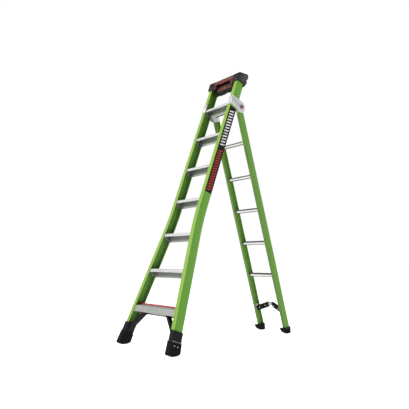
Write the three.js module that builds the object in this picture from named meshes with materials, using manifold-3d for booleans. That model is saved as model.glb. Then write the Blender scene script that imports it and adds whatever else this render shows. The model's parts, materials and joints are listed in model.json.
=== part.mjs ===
// Combination stepladder: a flared front section with seven treads and a narrower rear section
// with five rungs, hinged near the top so that it stands, folds flat or swings up straight.
// Millimetres, +Z up. The climber faces +Y, so the front is -Y and the climber's right is +X.
import * as THREE from "three";
import { RoundedBoxGeometry } from "three/addons/geometries/RoundedBoxGeometry.js";
import { mergeVertices } from "three/addons/utils/BufferGeometryUtils.js";
import Module from "manifold-3d";

const wasm = await Module();
wasm.setup();

// Driving dimensions of the whole ladder.
const PITCH = 304.8;                                    // tread and rung spacing along the rails
const FRONT_LEAN = THREE.MathUtils.degToRad(20.6);      // from the vertical, standing open
const REAR_LEAN = THREE.MathUtils.degToRad(16.6);
const FRONT_FOOT_Y = -745;                              // front edge of the front rails at z = RISE
const RISE = 20;                                        // height of station 0 of the front rails
const FIT = 0.3;                                        // clearance between pieces that touch
const TREADS = 7;
const RUNGS = 5;

// Front section. Stations run up the slope, depths run back from the front edge of the rails.
const FRONT = { halfWidth: 189, depth: 78, flange: 40, wall: 4, bottom: 60, top: 2400 };
const FLARE = { start: 1036, slope: 0.155, blend: 130 };
const TREAD = { lip: 24.3, closedLip: 48, leg: 50, wall: 3, inset: 4.5 };
const PIVOT = { station: 2140, depth: 118, pin: 10, bore: 6.4 };
const BRACKET = { low: 2108, high: 2192, reach: 50, wall: 4, wrap: 4.5 };
const KNOB = { inner: 160, under: 197, outer: 211.5, radius: 16 };
const CAP = { bottom: 2346, skin: 6, inward: 20 };
const TOP_BAR = { bottom: 2391, top: 2419, front: -10, back: 14 };
const SHELF = { level: 2427, thick: 6, back: 76, hang: 2404 };
const BOOT = { seam: 92, top: 164, skin: 5 };

// Rear section. Its own frame has its origin on the hinge axis and its +Z up the rear rails.
const REAR = {
  halfWidth: 170, front: -24, back: 38, flange: 27, wall: 4, endRadius: 38.8, bottom: -2038,
};
const REAR_MIDDLE = (REAR.front + REAR.back) / 2;
const V_BAR = { station: -6 * PITCH - 22, back: 42, rise: 39, half: 148 };

// The swivelling wall pad at the top of the front section.
const PAD = { station: 2356, depth: 55, half: 108, tall: 76, deep: 56, pin: 6 };
const PAD_ARM = { reach: 20, gap: 1.5, thick: 6 };

function material(color, roughness, metalness) {
  return new THREE.MeshStandardMaterial({ color, roughness, metalness });
}

const GREEN = material(0x6b9c3c, 0.45, 0);
const ALUMINIUM = material(0xc9cbc8, 0.4, 1);
const ZINC = material(0xb9bcbd, 0.35, 1);
const BLACK_PLASTIC = material(0x2a2b2c, 0.6, 0);
const RUBBER = material(0x1b1b1c, 0.85, 0);
const RED_PLASTIC = material(0xa8433a, 0.5, 0);

// Frames. Both groups turn about X, so x means the same in all of them.
const ladder = new THREE.Group();
const frontFrame = new THREE.Group();
frontFrame.position.set(0, FRONT_FOOT_Y, RISE);
frontFrame.rotation.x = -FRONT_LEAN;
frontFrame.updateMatrixWorld(true);
const rearFrame = new THREE.Group();
rearFrame.position.copy(frontFrame.localToWorld(new THREE.Vector3(0, PIVOT.depth, PIVOT.station)));
rearFrame.rotation.x = REAR_LEAN;
rearFrame.updateMatrixWorld(true);
ladder.add(frontFrame, rearFrame);

function place(frame, name, geometry, surface) {
  const mesh = new THREE.Mesh(geometry, surface);
  mesh.name = name;
  frame.add(mesh);
}

// Solids from outlines.
function shapeFrom(points) {
  return new THREE.Shape(points.map(([a, b]) => new THREE.Vector2(a, b)));
}

// A closed outline in a frame's side plane (y, z), extruded along X.
const SIDE_PLANE = new THREE.Matrix4().makeBasis(
  new THREE.Vector3(0, 1, 0), new THREE.Vector3(0, 0, 1), new THREE.Vector3(1, 0, 0),
);

function sideExtrude(shape, xFrom, xTo, steps = 1, curveSegments = 10) {
  const geometry = new THREE.ExtrudeGeometry(shape, {
    depth: xTo - xFrom, steps, curveSegments, bevelEnabled: false,
  });
  return geometry.applyMatrix4(SIDE_PLANE).translate(xFrom, 0, 0);
}

function block(x, y, z) {
  const geometry = new THREE.BoxGeometry(x[1] - x[0], y[1] - y[0], z[1] - z[0]);
  return geometry.translate((x[0] + x[1]) / 2, (y[0] + y[1]) / 2, (z[0] + z[1]) / 2);
}

function rod(radius, xFrom, xTo, y, z) {
  const geometry = new THREE.CylinderGeometry(radius, radius, xTo - xFrom, 28);
  return geometry.rotateZ(Math.PI / 2).translate((xFrom + xTo) / 2, y, z);
}

function roundedSection(width, height, radius) {
  const [w, h] = [width / 2, height / 2];
  const shape = new THREE.Shape();
  shape.moveTo(w - radius, -h);
  shape.absarc(w - radius, -h + radius, radius, -Math.PI / 2, 0);
  shape.absarc(w - radius, h - radius, radius, 0, Math.PI / 2);
  shape.absarc(-w + radius, h - radius, radius, Math.PI / 2, Math.PI);
  shape.absarc(-w + radius, -h + radius, radius, Math.PI, Math.PI * 1.5);
  return shape;
}

// Booleans.
function solid(geometry) {
  const bare = new THREE.BufferGeometry();
  bare.setAttribute("position", geometry.getAttribute("position"));
  bare.setIndex(geometry.getIndex());
  const merged = mergeVertices(bare, 1e-4);
  return new wasm.Manifold(new wasm.Mesh({
    numProp: 3,
    vertProperties: Float32Array.from(merged.getAttribute("position").array),
    triVerts: Uint32Array.from(merged.getIndex().array),
  }));
}

function cut(base, ...tools) {
  return tools.reduce((rest, tool) => rest.subtract(solid(tool)), solid(base));
}

function meshGeometry(manifold) {
  const mesh = manifold.getMesh();
  const geometry = new THREE.BufferGeometry();
  geometry.setAttribute("position", new THREE.BufferAttribute(mesh.vertProperties, 3));
  geometry.setIndex(new THREE.BufferAttribute(mesh.triVerts, 1));
  return geometry;
}

// Left and right copies: every sided piece is drawn on the +X side.
function mirrored(geometry) {
  const copy = mergeVertices(geometry.clone().deleteAttribute("normal").deleteAttribute("uv"), 1e-4);
  copy.scale(-1, 1, 1);
  const index = copy.getIndex();
  for (let i = 0; i < index.count; i += 3) {
    const first = index.getX(i);
    index.setX(i, index.getX(i + 2));
    index.setX(i + 2, first);
  }
  return copy;
}

function placePair(frame, name, geometry, surface) {
  place(frame, `${name}_right`, geometry, surface);
  place(frame, `${name}_left`, mirrored(geometry), surface);
}

// The front rails run parallel at the top and flare outwards below FLARE.start.
function flareAt(station) {
  const below = FLARE.start - station;
  if (below <= -FLARE.blend) return 0;
  if (below >= FLARE.blend) return below * FLARE.slope;
  return ((below + FLARE.blend) ** 2 / (4 * FLARE.blend)) * FLARE.slope;
}

function flared(geometry) {
  const position = geometry.getAttribute("position");
  for (let i = 0; i < position.count; i += 1) {
    position.setX(i, position.getX(i) + flareAt(position.getZ(i)));
  }
  geometry.computeVertexNormals();
  return geometry;
}

function channelShape(outer, flange, front, back, wall) {
  return shapeFrom([
    [outer - flange, front], [outer, front], [outer, back], [outer - flange, back],
    [outer - flange, back - wall], [outer - wall, back - wall],
    [outer - wall, front + wall], [outer - flange, front + wall],
  ]);
}

// The block of space that a rail fills, with the fitting clearance, for pockets in end pieces.
function railSpace(rail, front, back, from, to) {
  const x = [rail.halfWidth - rail.flange - FIT, rail.halfWidth + FIT];
  return block(x, [front - FIT, back + FIT], [from, to]);
}

// Front section ---------------------------------------------------------------------------

function frontRail() {
  const shape = channelShape(FRONT.halfWidth, FRONT.flange, 0, FRONT.depth, FRONT.wall);
  const length = FRONT.top - FRONT.bottom;
  const geometry = new THREE.ExtrudeGeometry(shape, { depth: length, steps: 26, bevelEnabled: false });
  return flared(geometry.translate(0, 0, FRONT.bottom));
}

// Half length of a tread, measured where the flared rails are closest to its end.
function treadHalf(number) {
  const back = (FRONT.depth - FRONT.wall) * Math.tan(FRONT_LEAN);
  return FRONT.halfWidth + flareAt(number * PITCH + back) - FRONT.wall - FIT;
}

// A tread is level on top, with a front lip, a deep rear leg and a closing gusset at each end.
function tread(number) {
  const lip = number === 1 ? TREAD.closedLip : TREAD.lip;
  const back = FRONT.depth - TREAD.inset;
  const rise = (back - TREAD.inset) * Math.tan(FRONT_LEAN);
  const drop = TREAD.wall / Math.cos(FRONT_LEAN);
  const slope = Math.tan(FRONT_LEAN);
  const outer = shapeFrom([[TREAD.inset, -lip], [back, -TREAD.leg], [back, rise], [TREAD.inset, 0]]);
  const [near, far] = [TREAD.inset + TREAD.wall, back - TREAD.wall];
  const inner = shapeFrom([
    [near, -lip - TREAD.leg], [far, -lip - TREAD.leg],
    [far, (far - TREAD.inset) * slope - drop], [near, TREAD.wall * slope - drop],
  ]);
  const half = treadHalf(number);
  const body = cut(
    sideExtrude(outer, -half, half),
    sideExtrude(inner, -half + TREAD.wall, half - TREAD.wall),
  );
  return meshGeometry(body).translate(0, 0, number * PITCH);
}

// The tread cue bar sits above the back of the bottom tread and gives by a few millimetres.
function cueBar() {
  const half = treadHalf(1) - FRONT.flange - 1;
  const [front, back] = [50, 66];
  const level = (depth) => PITCH + (depth - TREAD.inset) * Math.tan(FRONT_LEAN);
  return sideExtrude(shapeFrom([
    [front, level(front) + 4], [back, level(back) + 4], [back, level(back) + 13],
    [front + 3, level(front + 3) + 13], [front, level(front) + 9],
  ]), -half, half);
}

function sideOfFrontRail(outlinePoints, skin) {
  const inner = FRONT.halfWidth - FRONT.flange - skin;
  return sideExtrude(shapeFrom(outlinePoints), inner, FRONT.halfWidth + skin);
}

function frontBoot() {
  const sleeve = sideOfFrontRail([
    [-BOOT.skin, BOOT.seam + FIT], [FRONT.depth + BOOT.skin, BOOT.seam + FIT],
    [FRONT.depth + BOOT.skin, BOOT.top], [-BOOT.skin, BOOT.top],
  ], BOOT.skin);
  const pocket = railSpace(FRONT, 0, FRONT.depth, BOOT.seam - 10, BOOT.top + 10);
  return flared(meshGeometry(cut(sleeve, pocket)));
}

// A point of the front frame's side plane, from a world y and a height above the ground.
function frontPoint(y, height) {
  const point = frontFrame.worldToLocal(new THREE.Vector3(0, y, height));
  return [point.y, point.z];
}

function frontFoot() {
  const skin = BOOT.skin + 2;
  const shape = new THREE.Shape();
  shape.moveTo(-skin, BOOT.seam);
  shape.lineTo(...frontPoint(FRONT_FOOT_Y - 10, 19));
  shape.quadraticCurveTo(...frontPoint(FRONT_FOOT_Y - 2, 0), ...frontPoint(FRONT_FOOT_Y + 24, 0));
  shape.lineTo(...frontPoint(FRONT_FOOT_Y + 66, 0));
  shape.quadraticCurveTo(...frontPoint(FRONT_FOOT_Y + 86, 2), ...frontPoint(FRONT_FOOT_Y + 93, 13));
  shape.lineTo(FRONT.depth + skin, BOOT.seam);
  const inner = FRONT.halfWidth - FRONT.flange - skin;
  const foot = sideExtrude(shape, inner, FRONT.halfWidth + skin);
  const pocket = railSpace(FRONT, 0, FRONT.depth, FRONT.bottom - FIT, BOOT.seam + 10);
  return flared(meshGeometry(cut(foot, pocket)));
}

// A brace in the X-Z plane of the front frame, from the boot up into the hollow of the bottom tread.
function kneeBrace() {
  const bootInside = FRONT.halfWidth - FRONT.flange - BOOT.skin - FIT;
  const [low, high] = [108, BOOT.top + 8];
  const top = PITCH - 22;
  const shape = shapeFrom([
    [bootInside + flareAt(low), low], [bootInside + flareAt(high), high],
    [262, 168], [172, 258], [172, top], [146, top], [146, 256], [240, 162], [268, 128],
  ]);
  const geometry = new THREE.ExtrudeGeometry(shape, { depth: 36, bevelEnabled: false });
  return geometry.rotateX(Math.PI / 2).translate(0, 58, 0);
}

// Top cap: level on top, hooked down over the rear edge. Its overhang behind the rails stays on
// the outer side, clear of the rear rails when they swing up past it.
function topCap() {
  const outline = [
    [-12, CAP.bottom], [70, CAP.bottom + 6], [70, 2318], [86, 2332], [102, 2388], [90, 2398],
    [103, 2434], [88, 2466], [-7, 2430], [-13, 2421],
  ];
  const cap = sideExtrude(shapeFrom(outline), capInside(), FRONT.halfWidth + CAP.skin);
  const swingPast = block([0, REAR.halfWidth + 7], [79.4, 140], [2200, 2500]);
  const pocket = railSpace(FRONT, 0, FRONT.depth, 2200, FRONT.top + FIT);
  return meshGeometry(cut(cap, swingPast, pocket));
}

function capInside() {
  return FRONT.halfWidth - FRONT.flange - CAP.inward;
}

function topBar() {
  const [deep, tall] = [TOP_BAR.back - TOP_BAR.front, TOP_BAR.top - TOP_BAR.bottom];
  const bar = new RoundedBoxGeometry(2 * (capInside() - FIT), deep, tall, 2, 5);
  return bar.translate(0, TOP_BAR.front + deep / 2, TOP_BAR.bottom + tall / 2);
}

// Level shelf that joins the two caps behind the top bar, with a back that hangs down from it.
function topShelf() {
  const half = capInside() - FIT;
  const level = (depth) => SHELF.level + (depth + 6) * Math.tan(FRONT_LEAN);
  const [front, inner] = [-8, SHELF.back - SHELF.thick];
  return sideExtrude(shapeFrom([
    [front, level(front) - SHELF.thick], [inner, level(inner) - SHELF.thick], [inner, SHELF.hang],
    [SHELF.back, SHELF.hang], [SHELF.back, level(SHELF.back)], [front, level(front)],
  ]), -half, half);
}

// Arm that hangs from the top bar and carries one end of the wall pad.
function padArm() {
  const shape = new THREE.Shape();
  const { reach, gap, thick } = PAD_ARM;
  shape.moveTo(-8, TOP_BAR.bottom - FIT);
  shape.lineTo(PAD.depth - reach, PAD.station);
  shape.absarc(PAD.depth, PAD.station, reach, Math.PI, 0, false);
  shape.lineTo(PAD.depth + reach, TOP_BAR.bottom - FIT);
  const bore = new THREE.Path();
  bore.absarc(PAD.depth, PAD.station, PAD.pin + FIT, 0, Math.PI * 2, true);
  shape.holes.push(bore);
  return sideExtrude(shape, PAD.half + gap, PAD.half + gap + thick);
}

function wallPad() {
  const section = roundedSection(PAD.deep, PAD.tall, 14);
  const body = sideExtrude(section, -PAD.half, PAD.half);
  const groove = new THREE.ExtrudeGeometry(
    shapeFrom([[-62, PAD.deep / 2 + 2], [0, 12], [62, PAD.deep / 2 + 2]]),
    { depth: PAD.tall + 20, bevelEnabled: false },
  );
  groove.translate(0, 0, -PAD.tall / 2 - 10);
  const pinEnd = PAD.half + PAD_ARM.gap + PAD_ARM.thick;
  const pin = solid(rod(PAD.pin, -pinEnd, pinEnd, 0, 0));
  return meshGeometry(cut(body, groove).add(pin)).translate(0, PAD.depth, PAD.station);
}

// Hard face plate on the front of the wall pad.
function padFace() {
  const plate = new THREE.ExtrudeGeometry(roundedSection(196, 46, 12), { depth: 6, bevelEnabled: false });
  plate.rotateX(Math.PI / 2);
  return plate.translate(0, PAD.depth - PAD.deep / 2 - FIT, PAD.station + 8);
}

// Hinge bracket: wraps the front of the rail and carries the pivot behind it.
function hingeBracket() {
  const { low, high, reach, wall, wrap } = BRACKET;
  const inside = FRONT.halfWidth + FIT;
  const shape = new THREE.Shape();
  shape.moveTo(-wrap, low);
  shape.lineTo(PIVOT.depth - 36, low - 10);
  shape.absarc(PIVOT.depth, PIVOT.station, reach, -Math.PI * 0.55, Math.PI * 0.5, false);
  shape.lineTo(62, high);
  shape.lineTo(-wrap, high);
  const plate = solid(sideExtrude(shape, inside, inside + wall));
  const frontLeaf = solid(block([FRONT.halfWidth - FRONT.flange, inside + wall], [-wrap, -FIT], [low, high]));
  const hole = solid(rod(PIVOT.pin + FIT, 100, 260, PIVOT.depth, PIVOT.station));
  return meshGeometry(plate.add(frontLeaf).subtract(hole));
}

// Pivot pin: a tube fixed in the bracket, with the lock knob's stem inside it.
function pivotPin() {
  const [inner, outer] = [152, 195];
  const profile = [
    [PIVOT.bore, inner], [PIVOT.pin, inner], [PIVOT.pin, outer], [PIVOT.bore, outer], [PIVOT.bore, inner],
  ];
  const lathe = new THREE.LatheGeometry(profile.map(([r, h]) => new THREE.Vector2(r, h)), 32);
  return lathe.rotateZ(-Math.PI / 2).translate(0, PIVOT.depth, PIVOT.station);
}

function lockKnob() {
  const stem = PIVOT.bore - FIT;
  const { inner, under, outer, radius } = KNOB;
  const profile = [
    [0, inner], [stem, inner], [stem, under], [radius, under], [radius, outer - 4.5],
    [radius - 3, outer - 1], [0, outer],
  ];
  const lathe = new THREE.LatheGeometry(profile.map(([r, h]) => new THREE.Vector2(r, h)), 32);
  return lathe.rotateZ(-Math.PI / 2).translate(0, PIVOT.depth, PIVOT.station);
}

placePair(frontFrame, "front_rail", frontRail(), GREEN);
for (let number = 1; number <= TREADS; number += 1) {
  place(frontFrame, `tread_${number}`, tread(number), ALUMINIUM);
}
place(frontFrame, "cue_bar", cueBar(), RED_PLASTIC);
placePair(frontFrame, "front_boot", frontBoot(), BLACK_PLASTIC);
placePair(frontFrame, "front_foot", frontFoot(), RUBBER);
placePair(frontFrame, "knee_brace", kneeBrace(), BLACK_PLASTIC);
placePair(frontFrame, "top_cap", topCap(), BLACK_PLASTIC);
place(frontFrame, "top_bar", topBar(), RED_PLASTIC);
place(frontFrame, "top_shelf", topShelf(), BLACK_PLASTIC);
placePair(frontFrame, "pad_arm", padArm(), RED_PLASTIC);
place(frontFrame, "wall_pad", wallPad(), RUBBER);
place(frontFrame, "pad_face", padFace(), RED_PLASTIC);
placePair(frontFrame, "hinge_bracket", hingeBracket(), ZINC);
placePair(frontFrame, "pivot_pin", pivotPin(), ZINC);
placePair(frontFrame, "lock_knob", lockKnob(), RED_PLASTIC);

// Rear section ----------------------------------------------------------------------------

// The top end is rounded about the hinge axis, so that it clears the front rails as it turns.
function rearRail() {
  const shape = channelShape(REAR.halfWidth, REAR.flange, REAR.front, REAR.back, REAR.wall);
  const length = REAR.endRadius - REAR.bottom;
  const geometry = new THREE.ExtrudeGeometry(shape, { depth: length, bevelEnabled: false });
  geometry.translate(0, 0, REAR.bottom);
  const x = [REAR.halfWidth - REAR.flange - 1, REAR.halfWidth + 1];
  const below = solid(block(x, [REAR.front - 1, REAR.back + 1], [REAR.bottom - 1, 0]));
  const allowed = below.add(solid(rod(REAR.endRadius, ...x, 0, 0)));
  const bore = solid(rod(PIVOT.pin + 0.6, ...x, 0, 0));
  return meshGeometry(solid(geometry).intersect(allowed).subtract(bore));
}

// D-shaped rung: a flat top, a rounded underside, hollow from end to end.
function dShape(Path, wall) {
  const half = 15 - wall;
  const path = new Path();
  path.moveTo(-half, 17 - wall);
  path.lineTo(-half, -2);
  path.absarc(0, -2, half, Math.PI, Math.PI * 2, false);
  path.lineTo(half, 17 - wall);
  return path;
}

function rung(station, half) {
  const shape = dShape(THREE.Shape, 0);
  shape.holes.push(dShape(THREE.Path, 2));
  return sideExtrude(shape, -half, half).translate(0, REAR_MIDDLE, station);
}

// How far a point at x has moved towards the apex of the V, 0 at the rails and 1 in the middle.
function veeAt(x) {
  const soft = 0.06;
  const t = Math.hypot(x / V_BAR.half, soft);
  return (Math.hypot(1, soft) - t) / (Math.hypot(1, soft) - soft);
}

function veed(geometry) {
  const position = geometry.getAttribute("position");
  for (let i = 0; i < position.count; i += 1) {
    const t = veeAt(position.getX(i));
    position.setY(i, position.getY(i) + V_BAR.back * t);
    position.setZ(i, position.getZ(i) + V_BAR.rise * t);
  }
  geometry.computeVertexNormals();
  return geometry.translate(0, 0, V_BAR.station);
}

function veeBar() {
  return veed(sideExtrude(roundedSection(14, 32, 6), -V_BAR.half, V_BAR.half, 48, 4));
}

function veeGrip() {
  const shape = roundedSection(28, 52, 11);
  shape.holes.push(roundedSection(14 + 2 * FIT, 32 + 2 * FIT, 6));
  return veed(sideExtrude(shape, 24, 142, 16, 4));
}

function veeMount() {
  const x = [V_BAR.half + FIT, REAR.halfWidth - REAR.wall - FIT];
  return block(x, [-12, 22], [V_BAR.station - 14, V_BAR.station + 40]);
}

// A point of the rear frame's side plane, from a world y and a height above the ground.
function rearPoint(y, height) {
  const point = rearFrame.worldToLocal(new THREE.Vector3(0, y, height));
  return [point.y, point.z];
}

function rearFoot() {
  const heel = rearFrame.localToWorld(new THREE.Vector3(0, REAR.back, REAR.bottom)).y + 7;
  const shape = new THREE.Shape();
  shape.moveTo(...rearPoint(heel - 114, 57));
  shape.quadraticCurveTo(...rearPoint(heel - 99, 8), ...rearPoint(heel - 52, 0));
  shape.lineTo(...rearPoint(heel - 6, 0));
  shape.lineTo(...rearPoint(heel, 5));
  shape.lineTo(...rearPoint(heel - 5, 62));
  shape.lineTo(...rearPoint(heel - 91, 52));
  const skin = 5;
  const inner = REAR.halfWidth - REAR.flange - skin;
  const foot = sideExtrude(shape, inner, REAR.halfWidth + skin);
  return meshGeometry(cut(foot, railSpace(REAR, REAR.front, REAR.back, REAR.bottom - FIT, -1900)));
}

// Boss between the rear rail and the hinge bracket, turning on the pivot pin.
function hingeBoss() {
  const [inner, outer] = [REAR.halfWidth + FIT, FRONT.halfWidth - FIT];
  const bore = PIVOT.pin + 0.6;
  const profile = [[bore, inner], [24, inner], [22, outer], [bore, outer], [bore, inner]];
  const lathe = new THREE.LatheGeometry(profile.map(([r, h]) => new THREE.Vector2(r, h)), 32);
  return lathe.rotateZ(-Math.PI / 2);
}

placePair(rearFrame, "rear_rail", rearRail(), GREEN);
const webInside = REAR.halfWidth - REAR.wall - FIT;
for (let number = 1; number <= RUNGS; number += 1) {
  place(rearFrame, `rung_${number}`, rung(-PITCH * (RUNGS + 1 - number), webInside), ALUMINIUM);
}
place(rearFrame, "hinge_tube", rung(0, 150), ALUMINIUM);
place(rearFrame, "v_bar", veeBar(), ALUMINIUM);
placePair(rearFrame, "v_grip", veeGrip(), RUBBER);
placePair(rearFrame, "v_mount", veeMount(), ZINC);
placePair(rearFrame, "rear_foot", rearFoot(), RUBBER);
placePair(rearFrame, "hinge_boss", hingeBoss(), BLACK_PLASTIC);

export default ladder;
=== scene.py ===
"""Combination stepladder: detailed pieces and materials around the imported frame.

Pieces are drawn in millimetres in the frame of their own section, where x runs across the ladder,
y (the depth) runs back and z (the station) runs up the slope, then placed in metres. The front
section is measured from its lower front corner, the rear section from the hinge axis.
"""

import json
import math

import bmesh
import bpy
from mathutils import Matrix, Vector


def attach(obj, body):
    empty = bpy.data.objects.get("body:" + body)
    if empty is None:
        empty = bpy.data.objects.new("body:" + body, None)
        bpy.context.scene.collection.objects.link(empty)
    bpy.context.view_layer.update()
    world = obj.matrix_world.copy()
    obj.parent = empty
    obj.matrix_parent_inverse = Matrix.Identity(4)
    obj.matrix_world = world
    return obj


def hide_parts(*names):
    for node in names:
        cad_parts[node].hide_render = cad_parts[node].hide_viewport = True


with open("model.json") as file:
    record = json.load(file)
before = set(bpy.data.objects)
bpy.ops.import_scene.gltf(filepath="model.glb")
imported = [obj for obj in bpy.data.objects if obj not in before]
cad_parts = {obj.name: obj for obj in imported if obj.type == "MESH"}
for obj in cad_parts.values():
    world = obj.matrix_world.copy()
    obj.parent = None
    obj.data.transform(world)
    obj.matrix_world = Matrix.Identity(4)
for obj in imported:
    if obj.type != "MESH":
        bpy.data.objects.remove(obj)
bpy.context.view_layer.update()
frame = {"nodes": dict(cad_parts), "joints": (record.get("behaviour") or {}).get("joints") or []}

# Driving dimensions, in millimetres and radians.
MM = 0.001
PITCH = 304.8
FRONT_LEAN = math.radians(20.6)
REAR_LEAN = math.radians(16.6)
TREADS = 7
RUNGS = 5
FIT = 0.3
PIVOT = Vector((0, 118, 2140))
FRONT = {"half": 189, "depth": 78, "flange": 40, "wall": 4, "bottom": 60, "top": 2400}
FLARE = {"start": 1036, "slope": 0.155, "blend": 130}
TREAD = {"lip": 24.3, "closed_lip": 48, "leg": 50, "wall": 3, "inset": 4.5, "heads": (24, 54)}
BOOT = {"seam": 92, "top": 164, "skin": 5}
CAP = {"bottom": 2346, "skin": 6, "inward": 20}
BRACKET = {"low": 2108, "high": 2192, "reach": 50, "wall": 4, "wrap": 4.5}
TOP_BAR = {"bottom": 2391, "top": 2419, "front": -10, "back": 14}
SHELF = {"level": 2427, "thick": 6, "front": -8, "back": 76, "hang": 2404}
PAD = {"station": 2356, "depth": 55, "half": 108, "tall": 76, "deep": 56, "pin": 6}
REAR = {"half": 170, "front": -24, "back": 38, "flange": 27, "wall": 4, "end": 38.8, "bottom": -2038}
BORE = 10.6
V_BAR = {"station": -6 * PITCH - 22, "back": 42, "rise": 39, "half": 148}
DECAL = {"low": 1273, "middle": 1678, "high": 2090, "front": 3.5, "back": 74.5}

# Faces that many pieces are measured from: the rails' webs and the edges of their flanges.
FRONT_WEB = FRONT["half"]
FRONT_EDGE = FRONT_WEB - FRONT["flange"]
REAR_WEB = REAR["half"]
REAR_EDGE = REAR_WEB - REAR["flange"]
RUNG_HALF = REAR_WEB - REAR["wall"] - FIT
CAP_FACE = FRONT_WEB + CAP["skin"]
CAP_INSIDE = FRONT_EDGE - CAP["inward"]
BRACKET_FACE = FRONT_WEB + FIT + BRACKET["wall"]
PAD_AXIS = (PAD["depth"], PAD["station"])
PAD_FRONT = PAD["depth"] - PAD["deep"] / 2 - FIT

# Section frames: millimetres in a section to metres in the scene, worked out from the hinge.
hinge = next(joint for joint in frame["joints"] if joint["name"] == "rear_hinge")
AT_HINGE = Matrix.Translation(hinge["pos_m"])
FRONT_FRAME = (
    AT_HINGE @ Matrix.Rotation(-FRONT_LEAN, 4, "X") @ Matrix.Scale(MM, 4) @ Matrix.Translation(-PIVOT)
)
REAR_FRAME = AT_HINGE @ Matrix.Rotation(REAR_LEAN, 4, "X") @ Matrix.Scale(MM, 4)


# Outlines

def arc(centre, radius, start, end, steps):
    """Points on a circle from the start angle to the end angle."""
    angles = [start + (end - start) * k / steps for k in range(steps + 1)]
    return [(centre[0] + radius * math.cos(a), centre[1] + radius * math.sin(a)) for a in angles]


def rounded(corners, steps=4):
    """Closed outline whose corners, each (a, b) or (a, b, radius), are filleted with arcs."""
    outline = []
    for i, (a, b, *given) in enumerate(corners):
        if not given:
            outline.append((a, b))
            continue
        here, radius = Vector((a, b)), given[0]
        to_last = (Vector(corners[i - 1][:2]) - here).normalized()
        to_next = (Vector(corners[(i + 1) % len(corners)][:2]) - here).normalized()
        half = to_last.angle(to_next) / 2
        centre = here + (to_last + to_next).normalized() * radius / math.sin(half)
        first = here + to_last * radius / math.tan(half) - centre
        last = here + to_next * radius / math.tan(half) - centre
        start = math.atan2(first.y, first.x)
        turn = (math.atan2(last.y, last.x) - start + math.pi) % math.tau - math.pi
        outline += arc(centre, radius, start, start + turn, steps)
    return outline


def rectangle(a, b, radius, steps=4):
    """Rounded rectangle from a[0] to a[1] and b[0] to b[1]."""
    corners = ((a[0], b[0]), (a[1], b[0]), (a[1], b[1]), (a[0], b[1]))
    return rounded([(*corner, radius) for corner in corners], steps)


def curve(start, control, end, steps=8):
    """Points of a quadratic curve, without its first point."""
    points = []
    for k in range(1, steps + 1):
        t = k / steps
        points.append(tuple(
            (1 - t) ** 2 * s + 2 * t * (1 - t) * c + t * t * e for s, c, e in zip(start, control, end)
        ))
    return points


# Solids

AXES = {
    "x": lambda a, b, t: (t, a, b),
    "y": lambda a, b, t: (a, t, b),
    "z": lambda a, b, t: (a, b, t),
}


def skin(bm, near, far):
    """Quads between two rings of vertices."""
    for i in range(len(near)):
        bm.faces.new((near[i - 1], near[i], far[i], far[i - 1]))


def prism(outline, axis, *stops, bm=None):
    """Closed outline swept along an axis through the stops."""
    bm = bm or bmesh.new()
    rings = [[bm.verts.new(AXES[axis](a, b, t)) for a, b in outline] for t in stops]
    for near, far in zip(rings, rings[1:]):
        skin(bm, near, far)
    bm.faces.new(rings[0])
    bm.faces.new(rings[-1])
    return bm


def block(x, y, z):
    return prism([(x[0], y[0]), (x[1], y[0]), (x[1], y[1]), (x[0], y[1])], "z", *z)


def tube(outers, inners, axis):
    """Sleeve between two lists of (outline, stop), which all have the same number of points."""
    bm = bmesh.new()
    path = outers + inners[::-1]
    rings = [[bm.verts.new(AXES[axis](a, b, t)) for a, b in outline] for outline, t in path]
    for i, ring in enumerate(rings):
        skin(bm, rings[i - 1], ring)
    return bm


def lathe(profile, axis, centre, segments=32, closed=False, ripple=lambda radius, angle: radius, bm=None):
    """(radius, place along the axis) points turned about an axis."""
    bm = bm or bmesh.new()
    rings = []
    for radius, t in profile:
        ring = []
        for k in range(segments):
            angle = math.tau * k / segments
            r = ripple(radius, angle)
            a, b = centre[0] + r * math.cos(angle), centre[1] + r * math.sin(angle)
            ring.append(bm.verts.new(AXES[axis](a, b, t)))
        rings.append(ring)
    for near, far in zip(rings, rings[1:]):
        skin(bm, near, far)
    if closed:
        skin(bm, rings[-1], rings[0])
    else:
        bm.faces.new(rings[0])
        bm.faces.new(rings[-1])
    return bm


def rod(radius, ends, axis, centre, segments=32):
    """Plain round tool that drills a hole."""
    return lathe([(radius, t) for t in ends], axis, centre, segments)


def rivet(bm, axis, centre, base, radius, height, outward=1):
    """Domed head that stands on a surface, its foot sunk a little into it."""
    shape = [(1, -0.2), (1, 0.15), (0.92, 0.5), (0.7, 0.85), (0.35, 1)]
    profile = [(radius * r, base + outward * height * h) for r, h in shape]
    lathe(profile, axis, centre, segments=14, bm=bm)


def rivets(axis, centres, base, radius, height, outward=1):
    bm = bmesh.new()
    for centre in centres:
        rivet(bm, axis, centre, base, radius, height, outward)
    return bm


def screw(bm, axis, centre, base, radius, height, outward=1):
    """Hexagon head on a washer."""
    washer = [(1.5, -0.1), (1.5, 0.3), (1.35, 0.4)]
    head = [(1, 0.35), (1, 0.9), (0.85, 1), (0.4, 1)]
    for shape, sides in ((washer, 20), (head, 6)):
        profile = [(radius * r, base + outward * height * h) for r, h in shape]
        lathe(profile, axis, centre, segments=sides, bm=bm)


def settle(bm):
    bmesh.ops.recalc_face_normals(bm, faces=bm.faces)
    bm.normal_update()
    return bm


def move(bm, x=0, y=0, z=0):
    bmesh.ops.translate(bm, verts=bm.verts, vec=(x, y, z))
    return bm


def soften(bm, width, segments=2, sharper_than=30):
    """Bevels the sharp edges."""
    settle(bm)
    limit = math.radians(sharper_than)
    sharp = [e for e in bm.edges if e.is_manifold and e.calc_face_angle(0) > limit]
    bmesh.ops.bevel(
        bm, geom=sharp, offset=width, segments=segments, affect="EDGES", clamp_overlap=True, profile=0.5
    )
    return bm


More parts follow.
